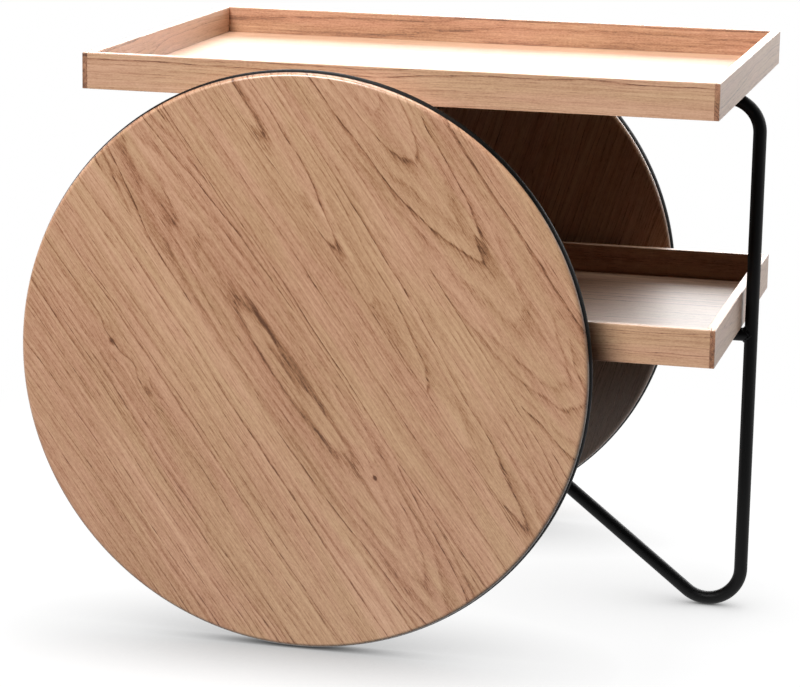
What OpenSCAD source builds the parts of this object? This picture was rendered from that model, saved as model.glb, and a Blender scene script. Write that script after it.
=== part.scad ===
// Rolling side table: two big wooden disc wheels on one axle, a bent tube frame in the
// middle plane between them, and two shallow wooden trays carried on the frame.
// X runs from the wheels towards the leg, Y from the front wheel to the rear one, Z up.
// The origin is on the floor, under the middle of the whole table.

/* [Wheels] */
// Diameter of a wheel over its tyre
wheel_d = 584; // [540:2:640]
// Thickness of a wooden wheel disc
wheel_t = 25; // [23:1:30]
// Width of the table across the outer faces of the two wheels
track_w = 548; // [500:2:620]
// Round-over on the rim of a disc
disc_edge_r = 4.5; // [2:0.5:4.5]
// Width of the rubber tyre
tyre_w = 15; // [11:1:15]
// Thickness of the rubber tyre, from the bottom of its groove
tyre_t = 6; // [4:0.5:9]
// How far the tyre stands out past the wood
tyre_stand = 2; // [1.5:0.5:3]
// Radius of the crown across the tyre's running face
tyre_crown_r = 22; // [14:1:40]

/* [Hubs] */
// Diameter of the axle rod and of the bearings' bore
axle_d = 12; // [10:0.5:13]
// Outside diameter of a bearing
bearing_d = 28; // [26:0.5:32]
// Width of a bearing
bearing_w = 8; // [7:0.5:9]
// Space between the two bearings of a hub
bearing_gap = 8; // [4:1:14]
// Diameter of a bearing's balls
ball_d = 4.8; // [4:0.2:5]
// Number of balls in a bearing
ball_count = 8; // [6:1:9]
// Gap between a bearing's inner and outer ring, measured along a radius
ring_gap = 3; // [2.6:0.2:3.4]
// Wall of the hub's boss round the bearings
hub_wall = 4; // [3:0.5:7]
// Height of the land in the hub that keeps the bearings apart
hub_land = 1.5; // [0.8:0.1:2]
// Diameter of the hub's flange
flange_d = 96; // [86:2:120]
// Thickness of the hub's flange
flange_t = 4; // [3:0.5:6]
// Diameter of the circle that the flange screws stand on
flange_pcd = 74; // [66:1:78]
// Number of flange screws
flange_screws = 6; // [4:1:8]
// Diameter of a flange screw's shank
flange_screw_d = 5; // [4:0.5:6]
// Length of a flange screw under its head
flange_screw_l = 16; // [12:1:20]

/* [Axle] */
// Outside diameter of the cross tube that the rod runs through
cross_tube_d = 20; // [18:1:22]
// Thickness of the shim between the cross tube and a bearing
shim_t = 1.5; // [1:0.25:3]
// Thickness of the washer under an axle nut
washer_t = 1.5; // [1:0.25:2.5]
// Width of an axle nut across its flats
nut_af = 18; // [17:0.5:20]
// Thickness of an axle nut
nut_t = 6; // [5:0.5:7]
// How far the rod stands out past its nut
rod_stand = 1.5; // [0.5:0.25:2]

/* [Frame] */
// Outside diameter of the frame's tube
tube_d = 14; // [12:0.5:17]
// Wall of the frame's tube
tube_wall = 2; // [1.5:0.25:2.5]
// Radius of the tube's bends, to the middle of the tube
bend_r = 35; // [28:1:55]
// Distance from the axle to the leg
leg_reach = 412; // [380:2:460]
// How far the middle of the tray strut lies above the axle
strut_rise = 3.5; // [0.5:0.5:6]
// Thickness of the flat cleats between tube and trays
cleat_t = 2; // [1.5:0.5:4]
// Width of a cleat
cleat_w = 30; // [24:1:40]
// Length of the cleats under the upper tray
upper_cleat_l = 320; // [240:5:400]
// Length of the cleats under the lower tray
lower_cleat_l = 280; // [220:5:340]
// Distance from a bend of the top run to the middle of the nearest cleat
upper_cleat_inset = 30; // [20:1:60]
// Distance from an end of the lower tray to the middle of the nearest cleat
lower_cleat_inset = 60; // [40:1:90]
// Radius of a cleat's corners
cleat_corner_r = 6; // [3:0.5:10]

/* [Trays] */
// Distance from the axle to the upper tray's far end, away from the leg
tray_tail = 237; // [210:1:270]
// How far the upper tray's rim stands above the tops of the wheels
tray_lift = 3; // [0:0.5:6]
// How far the leg's middle stands out past the upper tray
leg_outset = 11; // [9:0.5:20]
// Gap between the upper tray and the inner face of a wheel
upper_side_gap = 11.5; // [6:0.5:20]
// Gap between the lower tray and the end of a hub's boss
lower_side_gap = 22; // [10:1:30]
// Gap between the lower tray and the tubes at its two ends
tray_end_gap = 2.5; // [1:0.25:5]
// Height of the upper tray's walls
upper_tray_h = 36; // [30:1:50]
// Height of the lower tray's walls
lower_tray_h = 38; // [30:1:50]
// Thickness of a tray's walls
tray_wall = 10; // [8:0.5:13]
// Thickness of a tray's base panel
tray_floor_t = 8; // [7:0.5:11]
// How far the end walls lap round the ends of the long walls
corner_lap = 5; // [3:0.5:7]
// Depth of the rebate along the foot of the walls that the base panel sits in
rebate_w = 5; // [3:0.5:6]
// Thickness of the tongue round the base panel
tongue_t = 4; // [3:0.5:5]
// Rounding of the walls' top edges
tray_edge_r = 1; // [0.5:0.25:2.5]

/* [Tray screws] */
// Diameter of a tray screw's shank
tray_screw_d = 4; // [3:0.5:5]
// Length of a tray screw's thread in the base panel
tray_screw_bite = 5.5; // [4:0.25:6]
// Distance from an end of a cleat to its outermost screw
screw_inset = 20; // [12:1:34]
// Distance from the tube's middle to a cleat's innermost screw
screw_offset = 55; // [30:1:75]

/* [Fits] */
// Gap round a shaft or ring that is held fast
seat_gap = 0.03; // [0.02:0.01:0.08]
// Gap of glue round the tyre
glue_gap = 0.1; // [0.05:0.05:0.3]
// Gap between a ball and its races
ball_gap = 0.25; // [0.15:0.05:0.35]
// Gap between a cage and the rings, and between a cage and its balls
cage_gap = 0.3; // [0.2:0.05:0.4]
// Gap round the hub's boss in the disc's pocket
pocket_gap = 0.5; // [0.3:0.1:1.5]
// Room left past the rod's end in the disc's pocket
pocket_room = 2; // [1:0.25:2.5]
// Gap between a base panel and the walls round it
panel_gap = 0.2; // [0.1:0.05:0.5]
// Gap round a screw's shank in the metal that it passes through
screw_gap = 0.25; // [0.15:0.05:0.5]
// Gap left for the weld where one tube is shaped to meet another
weld_gap = 0.1; // [0.05:0.05:0.3]

/* [Hidden] */
$fn = 96;
// The two sides of the table
front = -1;
rear = 1;
// Overshoot of a cut past the face that it opens
cut = 1;
// Angle that the two lengths of the floor bend share
bend_lap = 10;
// Sides of a nut or a socket key, and half the angle that one of them spans
hex_sides = 6;
hex_half_a = 180 / hex_sides;
// Shape of a round-headed screw: its head's radius and height in shank diameters
head_wide = 0.9;
head_high = 0.6;
// The head's narrow end, and its socket's radius and depth, as shares of the head
head_crown = 0.8;
socket_wide = 0.4;
socket_deep = 0.6;

// Wheels
wheel_r = wheel_d / 2;
disc_r = wheel_r - tyre_stand;
axle_z = wheel_r;
tube_r = tube_d / 2;
axle_x = (wheel_r - leg_reach - tube_r) / 2;
leg_x = axle_x + leg_reach;
disc_out = track_w / 2;
disc_in = disc_out - wheel_t;
groove_r = wheel_r - tyre_t - glue_gap;
groove_w = tyre_w + 2 * glue_gap;
disc_fine = 180;

// Hubs, measured out along the axle from the table's middle plane
axle_r = axle_d / 2;
bearing_r = bearing_d / 2;
pitch_r = (axle_r + bearing_r) / 2;
ball_r = ball_d / 2;
race_r = ball_r + ball_gap;
ring_in_r = pitch_r - ring_gap / 2;
ring_out_r = pitch_r + ring_gap / 2;
boss_r = bearing_r + hub_wall;
boss_out = disc_in + bearing_w;
boss_in = boss_out - 2 * bearing_w - bearing_gap;
bearing_starts = [boss_in, boss_out - bearing_w];

// Axle
cross_tube_r = cross_tube_d / 2;
cross_tube_end = boss_in - shim_t;
washer_out = boss_out + washer_t;
nut_out = washer_out + nut_t;
rod_end = nut_out + rod_stand;
pocket_end = rod_end + pocket_room;

// Trays
upper_z = wheel_d + tray_lift - upper_tray_h;
upper_x0 = axle_x - tray_tail;
upper_x1 = leg_x - leg_outset;
upper_half = disc_in - upper_side_gap;
strut_z = axle_z + strut_rise;
lower_z = strut_z + tube_r + cleat_t;
lower_x0 = axle_x + tube_r + tray_end_gap;
lower_x1 = leg_x - tube_r - tray_end_gap;
lower_half = boss_in - lower_side_gap;
// A tray is its two ends along X, half its depth, its underside and its height
upper_tray = [upper_x0, upper_x1, upper_half, upper_z, upper_tray_h];
lower_tray = [lower_x0, lower_x1, lower_half, lower_z, lower_tray_h];

// Frame
top_z = upper_z - cleat_t - tube_r;
bend_low_z = bend_r + tube_r;
bend_top_z = top_z - bend_r;
bend_right_x = leg_x - bend_r;
bend_left_x = axle_x + bend_r;
brace_drop = axle_z - bend_low_z;
brace_reach = bend_right_x - axle_x;
brace_span = norm([brace_drop, brace_reach]);
brace_a = atan2(brace_drop, brace_reach) + asin(bend_r / brace_span);
brace_l = sqrt(brace_span * brace_span - bend_r * bend_r);
upper_cleats = [bend_left_x + upper_cleat_inset, bend_right_x - upper_cleat_inset];
lower_cleats = [lower_x0 + lower_cleat_inset, lower_x1 - lower_cleat_inset];
tray_screw_r = tray_screw_d / 2;

// Stands its children on the axle, with their Z pointing out towards one wheel
module on_axle(side) {
    translate([axle_x, 0, axle_z])
        rotate([-90 * side, 0, 0])
            children();
}

// A washer or plain ring, from one distance along the axle to another
module ring(r_in, r_out, from, to) {
    translate([0, 0, from])
        difference() {
            cylinder(r = r_out, h = to - from);
            translate([0, 0, -cut])
                cylinder(r = r_in, h = to - from + 2 * cut);
        }
}

// Round-headed screw with a six-sided socket: its head below zero, its shank above
module socket_screw(d, len) {
    head_r = head_wide * d;
    head_h = head_high * d;
    difference() {
        union() {
            cylinder(r = d / 2, h = len);
            translate([0, 0, -head_h])
                cylinder(r1 = head_r * head_crown, r2 = head_r, h = head_h);
        }
        translate([0, 0, -head_h - cut])
            cylinder(r = head_r * socket_wide, h = head_h * socket_deep + cut, $fn = hex_sides);
    }
}

// Puts a copy of its children on each screw of the hub's flange
module at_flange_screws() {
    for (i = [0 : flange_screws - 1])
        rotate([0, 0, 360 * i / flange_screws])
            translate([flange_pcd / 2, 0, 0])
                children();
}

// Section of a disc: its radius across, its thickness up
module disc_section() {
    difference() {
        union() {
            square([disc_r - disc_edge_r, wheel_t]);
            translate([0, disc_edge_r])
                square([disc_r, wheel_t - 2 * disc_edge_r]);
            for (z = [disc_edge_r, wheel_t - disc_edge_r])
                translate([disc_r - disc_edge_r, z])
                    circle(r = disc_edge_r);
        }
        translate([groove_r, (wheel_t - groove_w) / 2])
            square([tyre_t, groove_w]);
    }
}

module wheel_disc(side) {
    color("burlywood")
        on_axle(side)
            difference() {
                translate([0, 0, disc_in])
                    rotate_extrude($fn = disc_fine)
                        disc_section();
                translate([0, 0, disc_in - cut])
                    cylinder(r = boss_r + pocket_gap, h = pocket_end - disc_in + cut);
                at_flange_screws()
                    translate([0, 0, disc_in - cut])
                        cylinder(r = flange_screw_d / 2 + seat_gap, h = flange_screw_l - flange_t + 2 * cut);
            }
}

// Rubber band in the disc's groove, with a crowned running face
module tyre(side) {
    color("dimgray")
        on_axle(side)
            translate([0, 0, (disc_in + disc_out - tyre_w) / 2])
                rotate_extrude($fn = disc_fine)
                    intersection() {
                        translate([wheel_r - tyre_t, 0])
                            square([tyre_t, tyre_w]);
                        translate([wheel_r - tyre_crown_r, tyre_w / 2])
                            circle(r = tyre_crown_r);
                    }
}

// Steel hub: a flange on the disc's inner face and a boss that holds the two bearings
module hub(side) {
    color("silver")
        on_axle(side)
            difference() {
                union() {
                    translate([0, 0, boss_in])
                        cylinder(r = boss_r, h = boss_out - boss_in);
                    translate([0, 0, disc_in - flange_t])
                        cylinder(r = flange_d / 2, h = flange_t);
                }
                for (z = bearing_starts)
                    translate([0, 0, z == boss_in ? z - cut : z])
                        cylinder(r = bearing_r + seat_gap, h = bearing_w + cut);
                translate([0, 0, boss_in])
                    cylinder(r = bearing_r - hub_land, h = boss_out - boss_in);
                at_flange_screws()
                    translate([0, 0, disc_in - flange_t - cut])
                        cylinder(r = flange_screw_d / 2 + screw_gap, h = flange_t + 2 * cut);
            }
}

// Screws driven outwards through the flange, into the wood
module flange_screw_set(side) {
    color("silver")
        on_axle(side)
            at_flange_screws()
                translate([0, 0, disc_in - flange_t])
                    socket_screw(flange_screw_d, flange_screw_l);
}

// Ring of a bearing with its race cut into it
module race_ring(r_in, r_out, from) {
    difference() {
        ring(r_in, r_out, from, from + bearing_w);
        translate([0, 0, from + bearing_w / 2])
            rotate_extrude()
                translate([pitch_r, 0])
                    circle(r = race_r);
    }
}

module outer_rings(side) {
    color("lightsteelblue")
        on_axle(side)
            for (z = bearing_starts)
                race_ring(ring_out_r, bearing_r, z);
}

module inner_rings(side) {
    color("lightsteelblue")
        on_axle(side)
            for (z = bearing_starts)
                race_ring(axle_r + seat_gap, ring_in_r, z);
}

module balls(side) {
    color("white")
        on_axle(side)
            for (z = bearing_starts, i = [0 : ball_count - 1])
                rotate([0, 0, 360 * i / ball_count])
                    translate([pitch_r, 0, z + bearing_w / 2])
                        sphere(r = ball_r);
}

// A cage keeps the balls of its bearing evenly apart, each in a drilled pocket
module cage(from) {
    difference() {
        ring(ring_in_r + cage_gap, ring_out_r - cage_gap, from + cage_gap, from + bearing_w - cage_gap);
        for (i = [0 : ball_count - 1])
            rotate([0, 0, 360 * i / ball_count])
                translate([0, 0, from + bearing_w / 2])
                    rotate([0, 90, 0])
                        cylinder(r = ball_r + cage_gap, h = bearing_r);
    }
}

module cages(side) {
    color("goldenrod")
        on_axle(side)
            for (z = bearing_starts)
                cage(z);
}

module ring_spacer(side) {
    color("gray")
        on_axle(side)
            ring(axle_r + seat_gap, ring_in_r, boss_in + bearing_w, boss_out - bearing_w);
}

module axle_rod() {
    color("silver")
        on_axle(rear)
            translate([0, 0, -rod_end])
                cylinder(r = axle_r, h = 2 * rod_end);
}

module axle_cross_tube() {
    color("black")
        on_axle(rear)
            ring(axle_r + seat_gap, cross_tube_r, -cross_tube_end, cross_tube_end);
}

module axle_shims() {
    color("silver")
        for (side = [front, rear])
            on_axle(side)
                ring(axle_r + seat_gap, ring_in_r, cross_tube_end, boss_in);
}

module axle_washers() {
    color("silver")
        for (side = [front, rear])
            on_axle(side)
                ring(axle_r + seat_gap, ring_in_r, boss_out, washer_out);
}

module axle_nuts() {
    color("silver")
        for (side = [front, rear])
            on_axle(side)
                translate([0, 0, washer_out])
                    difference() {
                        cylinder(d = nut_af / cos(hex_half_a), h = nut_t, $fn = hex_sides);
                        translate([0, 0, -cut])
                            cylinder(r = axle_r + seat_gap, h = nut_t + 2 * cut);
                    }
}

// Upright stretch of tube in the middle plane
module tube_up(r, x, from, to) {
    translate([x, 0, from])
        cylinder(r = r, h = to - from);
}

// Level stretch of tube in the middle plane
module tube_along(r, z, from, to) {
    translate([from, 0, z])
        rotate([0, 90, 0])
            cylinder(r = r, h = to - from);
}

// Bend round its own centre, from the angle start through the angle sweep
module tube_bend(r, start, sweep) {
    rotate([0, 0, start])
        rotate_extrude(angle = sweep)
            translate([bend_r, 0])
                circle(r = r);
}

// Stands its children in the middle plane, with their origin on a bend's centre
module at_bend(x, z) {
    translate([x, 0, z])
        rotate([90, 0, 0])
            children();
}

// The one bent tube, at any radius: post, top run, leg, floor bend and brace
module loop_path(r) {
    tube_up(r, axle_x, axle_z, bend_top_z);
    at_bend(bend_left_x, bend_top_z)
        tube_bend(r, 90, 90);
    tube_along(r, top_z, bend_left_x, bend_right_x);
    at_bend(bend_right_x, bend_top_z)
        tube_bend(r, 0, 90);
    tube_up(r, leg_x, bend_low_z, bend_top_z);
    at_bend(bend_right_x, bend_low_z) {
        tube_bend(r, -90, 90);
        rotate([0, 0, -90 - brace_a]) {
            tube_bend(r, 0, brace_a + bend_lap);
            translate([bend_r, 0, 0])
                rotate([90, 0, 0])
                    cylinder(r = r, h = brace_l);
        }
    }
}

// Room for the cross tube where other tubes meet it
module cross_tube_cope() {
    on_axle(rear)
        translate([0, 0, -tube_d])
            cylinder(r = cross_tube_r + weld_gap, h = 2 * tube_d);
}

module frame_loop() {
    color("black")
        difference() {
            loop_path(tube_r);
            loop_path(tube_r - tube_wall);
            cross_tube_cope();
        }
}

// Straight tube from the cross tube to the leg, under the lower tray
module tray_strut() {
    color("black")
        difference() {
            tube_along(tube_r, strut_z, axle_x, leg_x);
            tube_along(tube_r - tube_wall, strut_z, axle_x, leg_x);
            loop_path(tube_r + weld_gap);
            cross_tube_cope();
        }
}

// Plan of a flat bar with round corners, centred
module round_plan(len_x, len_y, r) {
    square([len_x - 2 * r, len_y], center = true);
    square([len_x, len_y - 2 * r], center = true);
    for (x = [-1, 1], y = [-1, 1])
        translate([x * (len_x / 2 - r), y * (len_y / 2 - r)])
            circle(r = r);
}

// Places of the screws along a cleat
function screw_places(cleat_l) = [
    for (s = [-1, 1], y = [screw_offset, cleat_l / 2 - screw_inset]) s * y
];

module cleats(places, cleat_l, tray_z) {
    color("black")
        for (x = places)
            translate([x, 0, tray_z - cleat_t])
                linear_extrude(height = cleat_t)
                    difference() {
                        round_plan(cleat_w, cleat_l, cleat_corner_r);
                        for (y = screw_places(cleat_l))
                            translate([0, y])
                                circle(r = tray_screw_r + screw_gap);
                    }
}

module tray_screws(places, cleat_l, tray_z) {
    color("silver")
        for (x = places, y = screw_places(cleat_l))
            translate([x, y, tray_z - cleat_t])
                socket_screw(tray_screw_d, cleat_t + tray_screw_bite);
}

// Box that a base panel's tongue fills, or its rebate when the gap is nothing
module tongue_box(t, gap, below) {
    edge = tray_wall - rebate_w + gap;
    translate([t[0] + edge, -t[2] + edge, t[3] - below])
        cube([t[1] - t[0] - 2 * edge, 2 * (t[2] - edge), tongue_t + below]);
}

module tray_base(t, places, cleat_l) {
    edge = tray_wall + panel_gap;
    color("wheat")
        difference() {
            union() {
                tongue_box(t, panel_gap, 0);
                translate([t[0] + edge, -t[2] + edge, t[3]])
                    cube([t[1] - t[0] - 2 * edge, 2 * (t[2] - edge), tray_floor_t]);
            }
            for (x = places, y = screw_places(cleat_l))
                translate([x, y, t[3] - cut])
                    cylinder(r = tray_screw_r + seat_gap, h = tray_screw_bite + screw_gap + cut);
        }
}

// Section of a tray's wall, with its two top edges rounded
module wall_section(h) {
    square([tray_wall, h - tray_edge_r]);
    translate([tray_edge_r, 0])
        square([tray_wall - 2 * tray_edge_r, h]);
    for (x = [tray_edge_r, tray_wall - tray_edge_r])
        translate([x, h - tray_edge_r])
            circle(r = tray_edge_r);
}

// Wall along X, between the two end walls' laps
module long_wall(t, side) {
    color("burlywood")
        difference() {
            translate([t[0] + corner_lap, side * (t[2] - tray_wall / 2) - tray_wall / 2, t[3]])
                rotate([90, 0, 90])
                    linear_extrude(height = t[1] - t[0] - 2 * corner_lap)
                        wall_section(t[4]);
            tongue_box(t, 0, cut);
        }
}

// Wall along Y, at the end x0, which laps round the ends of the two long walls
module end_wall(t, x0, lap_x) {
    color("burlywood")
        difference() {
            translate([x0, t[2], t[3]])
                rotate([90, 0, 0])
                    linear_extrude(height = 2 * t[2])
                        wall_section(t[4]);
            for (side = [front, rear])
                translate([lap_x, side * (t[2] + cut) - (side > 0 ? tray_wall + cut : 0), t[3] - cut])
                    cube([tray_wall, tray_wall + cut, t[4] + 2 * cut]);
            tongue_box(t, 0, cut);
        }
}

module left_wall(t) {
    end_wall(t, t[0], t[0] + corner_lap);
}

module right_wall(t) {
    end_wall(t, t[1] - tray_wall, t[1] - corner_lap - tray_wall);
}

module front_wheel_disc() { wheel_disc(front); }
module front_tyre() { tyre(front); }
module front_hub() { hub(front); }
module front_flange_screws() { flange_screw_set(front); }
module front_bearing_outer_rings() { outer_rings(front); }
module front_bearing_inner_rings() { inner_rings(front); }
module front_bearing_balls() { balls(front); }
module front_bearing_cages() { cages(front); }
module front_ring_spacer() { ring_spacer(front); }
module rear_wheel_disc() { wheel_disc(rear); }
module rear_tyre() { tyre(rear); }
module rear_hub() { hub(rear); }
module rear_flange_screws() { flange_screw_set(rear); }
module rear_bearing_outer_rings() { outer_rings(rear); }
module rear_bearing_inner_rings() { inner_rings(rear); }
module rear_bearing_balls() { balls(rear); }
module rear_bearing_cages() { cages(rear); }
module rear_ring_spacer() { ring_spacer(rear); }
module upper_tray_base() { tray_base(upper_tray, upper_cleats, upper_cleat_l); }
module upper_tray_front_wall() { long_wall(upper_tray, front); }
module upper_tray_back_wall() { long_wall(upper_tray, rear); }
module upper_tray_left_wall() { left_wall(upper_tray); }
module upper_tray_right_wall() { right_wall(upper_tray); }
module upper_tray_cleats() { cleats(upper_cleats, upper_cleat_l, upper_z); }
module upper_tray_screws() { tray_screws(upper_cleats, upper_cleat_l, upper_z); }
module lower_tray_base() { tray_base(lower_tray, lower_cleats, lower_cleat_l); }
module lower_tray_front_wall() { long_wall(lower_tray, front); }
module lower_tray_back_wall() { long_wall(lower_tray, rear); }
module lower_tray_left_wall() { left_wall(lower_tray); }
module lower_tray_right_wall() { right_wall(lower_tray); }
module lower_tray_cleats() { cleats(lower_cleats, lower_cleat_l, lower_z); }
module lower_tray_screws() { tray_screws(lower_cleats, lower_cleat_l, lower_z); }

front_wheel_disc();
front_tyre();
front_hub();
front_flange_screws();
front_bearing_outer_rings();
front_bearing_inner_rings();
front_bearing_balls();
front_bearing_cages();
front_ring_spacer();
rear_wheel_disc();
rear_tyre();
rear_hub();
rear_flange_screws();
rear_bearing_outer_rings();
rear_bearing_inner_rings();
rear_bearing_balls();
rear_bearing_cages();
rear_ring_spacer();
axle_rod();
axle_cross_tube();
axle_shims();
axle_washers();
axle_nuts();
frame_loop();
tray_strut();
upper_tray_base();
upper_tray_front_wall();
upper_tray_back_wall();
upper_tray_left_wall();
upper_tray_right_wall();
upper_tray_cleats();
upper_tray_screws();
lower_tray_base();
lower_tray_front_wall();
lower_tray_back_wall();
lower_tray_left_wall();
lower_tray_right_wall();
lower_tray_cleats();
lower_tray_screws();
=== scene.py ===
# Looks of a rolling side table: two oak disc wheels with rubber tyres on one axle, a bent
# black tube between them, and two shallow oak trays that it carries. Lengths are in metres.
import math
import random
from collections import namedtuple
from contextlib import contextmanager

import bmesh
import bpy
from mathutils import Matrix, Vector


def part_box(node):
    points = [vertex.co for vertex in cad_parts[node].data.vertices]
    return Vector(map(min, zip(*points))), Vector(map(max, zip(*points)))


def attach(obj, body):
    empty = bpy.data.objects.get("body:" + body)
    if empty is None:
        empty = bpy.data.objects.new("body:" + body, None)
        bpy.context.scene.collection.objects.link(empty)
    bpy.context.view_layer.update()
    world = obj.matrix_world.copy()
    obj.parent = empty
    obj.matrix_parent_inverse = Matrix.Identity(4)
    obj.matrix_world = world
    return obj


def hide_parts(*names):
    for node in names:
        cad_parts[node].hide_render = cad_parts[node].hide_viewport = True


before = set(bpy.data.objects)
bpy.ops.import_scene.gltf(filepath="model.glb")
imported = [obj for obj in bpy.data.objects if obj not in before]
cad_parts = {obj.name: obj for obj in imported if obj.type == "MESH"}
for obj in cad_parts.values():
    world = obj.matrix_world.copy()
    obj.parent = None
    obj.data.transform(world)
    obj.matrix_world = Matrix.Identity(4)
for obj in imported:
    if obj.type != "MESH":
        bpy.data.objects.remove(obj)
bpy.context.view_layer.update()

MM = 0.001
QUARTER = math.pi / 2
TURN = 2 * math.pi

# Places that are nearer to each other than this count as one
NEAR = 0.02 * MM

# Fineness of round shapes
RIM_SIDES = 288
CROWN_SIDES = 384
HUB_SIDES = 96
TUBE_SIDES = 48
BEND_STEPS = 24
SCREW_SIDES = 32
WELD_POINTS = 72
SEAM_POINTS = 24

# What follows are sizes of details that the frame's boxes don't show.
# Wheels: the rim's rounding, the groove and the section of the tyre, and the hub's pocket
RIM_ROUND = 4.5 * MM
TYRE_SEAT = 5.9 * MM
TYRE_PLAY = 0.1 * MM
TYRE_THICK = 6 * MM
TYRE_CROWN = 12 * MM
TYRE_SHOULDER = 1.2 * MM
POCKET_R = 18.5 * MM
POCKET_DEEP = 19 * MM

# Hubs: the boss with its bearing seats and bore, and the flange with its screws
BOSS_R = 18 * MM
BEARING_R = 14.03 * MM
BEARING_W = 8 * MM
HUB_BORE_R = 12.5 * MM
HUB_FILLET = 2 * MM
HUB_EDGE = 0.5 * MM
FLANGE_T = 4 * MM
FLANGE_SCREWS = 6
FLANGE_SCREW_RING = 37 * MM
FLANGE_SCREW_R = 2.5 * MM

# Frame: the rod's bore, the cross tube's filed edges, the tube's bends, and the welds round a
# tube and along a cleat
ROD_R = 6.03 * MM
CROSS_EDGE = 0.6 * MM
BEND_R = 35 * MM
TUBE_WELD_R = 1.3 * MM
CLEAT_WELD_R = 1.4 * MM

# A weld's small waves and its open ends: how high a wave is and how thin an end is, as shares
# of the weld's radius, and how many points make one wave
WELD_WAVES = 0.16
WELD_END = 0.35
WELD_WAVE_POINTS = 4

# Trays: the walls and their joints, and the cleats with their screws
TRAY_WALL = 10 * MM
CORNER_LAP = 5 * MM
REBATE = 5 * MM
TONGUE = 4 * MM
TOP_ROUND = 1 * MM
PANEL_EDGE = 0.2 * MM
CLEAT_WIDE = 30 * MM
CLEAT_CORNER = 6 * MM
CLEAT_EDGE = 0.3 * MM
CLEAT_SCREW_INNER = 55 * MM
CLEAT_SCREW_INSET = 20 * MM
TRAY_SCREW_R = 2 * MM

# All screws: the play in their holes, and then, as shares, how much wider the head is than
# the shank, how far the head and the tip are rounded, and how wide the socket is
SCREW_PLAY = 0.25 * MM
HEAD_SHARE = 1.8
HEAD_ROUND = 0.55
TIP_ROUND = 0.3
SOCKET_SHARE = 0.42
SCREW_EDGE = 0.12 * MM

# How far a plain edge is softened
SOFT_EDGE = 0.35 * MM

# The two sides of the table, and which way each one faces along Y
SIDES = {"front": -1, "rear": 1}

disc_lo, disc_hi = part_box("rear_wheel_disc")
AXLE = Vector(((disc_lo.x + disc_hi.x) / 2, 0, (disc_lo.z + disc_hi.z) / 2))
loop_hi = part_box("frame_loop")[1]
TUBE_R = loop_hi.y
LEG_X = loop_hi.x - TUBE_R
TOP_Z = loop_hi.z - TUBE_R
cross_lo, cross_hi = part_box("axle_cross_tube")
CROSS_R = (cross_hi.z - cross_lo.z) / 2


# Making shapes

def begin(add, **how):
    """Adds one primitive by itself, with its place and size written into its mesh."""
    bpy.ops.object.select_all(action="DESELECT")
    add(**how)
    bpy.ops.object.transform_apply(location=True, rotation=True, scale=True)
    return bpy.context.object


@contextmanager
def editing(piece):
    """Opens a piece for editing, and closes it again."""
    bpy.ops.object.select_all(action="DESELECT")
    bpy.context.view_layer.objects.active = piece
    piece.select_set(True)
    bpy.ops.object.mode_set(mode="EDIT")
    yield
    bpy.ops.object.mode_set(mode="OBJECT")


def heart_of(part):
    """The middle of a face or an edge."""
    return sum((v.co for v in part.verts), Vector()) / len(part.verts)


def from_axle(point):
    """How far a point lies from the axle's line."""
    return math.hypot(point.x - AXLE.x, point.z - AXLE.z)


def pick(kind, wanted):
    """Selects the faces or edges that are wanted, and nothing else."""
    bpy.ops.mesh.select_mode(type=kind)
    bpy.ops.mesh.select_all(action="DESELECT")
    data = bpy.context.object.data
    shape = bmesh.from_edit_mesh(data)
    for part in shape.faces if kind == "FACE" else shape.edges:
        if wanted(part):
            part.select_set(True)
    bmesh.update_edit_mesh(data)


def slice_at(point, normal, **how):
    """Cuts the whole piece across with a plane."""
    bpy.ops.mesh.select_all(action="SELECT")
    bpy.ops.mesh.bisect(plane_co=point, plane_no=normal, threshold=NEAR / 20, **how)


def push(offset):
    """Extrudes what is selected."""
    bpy.ops.mesh.extrude_region_move(TRANSFORM_OT_translate={"value": offset})


def round_over(radius, segments):
    """Rounds the edges that are selected."""
    bpy.ops.mesh.bevel(offset=radius, segments=segments, affect="EDGES")


def apply(piece, kind, **settings):
    """Gives a piece a modifier and applies it."""
    bpy.ops.object.select_all(action="DESELECT")
    bpy.context.view_layer.objects.active = piece
    piece.select_set(True)
    modifier = piece.modifiers.new(kind.lower(), kind)
    for key, value in settings.items():
        setattr(modifier, key, value)
    bpy.ops.object.modifier_apply(modifier=modifier.name)


def cut_away(piece, cutter):
    """Takes a cutter's shape out of a piece, and the cutter away."""
    apply(piece, "BOOLEAN", object=cutter, operation="DIFFERENCE", solver="EXACT")
    bpy.data.objects.remove(cutter)


def soften(piece, width=SOFT_EDGE, angle=40):
    """Breaks a piece's sharp edges, as sandpaper or a file does."""
    apply(
        piece, "BEVEL", width=width, segments=2, limit_method="ANGLE",
        angle_limit=math.radians(angle))


def smooth(piece, angle=35):
    """Shades round shapes smooth, and keeps flat faces flat up to their softened edges."""
    bpy.ops.object.select_all(action="DESELECT")
    bpy.context.view_layer.objects.active = piece
    piece.select_set(True)
    bpy.ops.object.shade_smooth_by_angle(angle=math.radians(angle))
    apply(piece, "WEIGHTED_NORMAL", keep_sharp=True)


def join(pieces):
    """Makes several pieces one, and returns it."""
    bpy.ops.object.select_all(action="DESELECT")
    for piece in pieces:
        piece.select_set(True)
    bpy.context.view_layer.objects.active = pieces[0]
    bpy.ops.object.join()
    return pieces[0]


def copy_to(piece, offset, turn=0.0):
    """A copy of a piece with a mesh of its own, turned about the axle and then moved."""
    other = piece.copy()
    other.data = piece.data.copy()
    bpy.context.scene.collection.objects.link(other)
    about = Matrix.Translation(AXLE) @ Matrix.Rotation(turn, 4, "Y") @ Matrix.Translation(-AXLE)
    other.data.transform(Matrix.Translation(offset) @ about)
    return other


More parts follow.
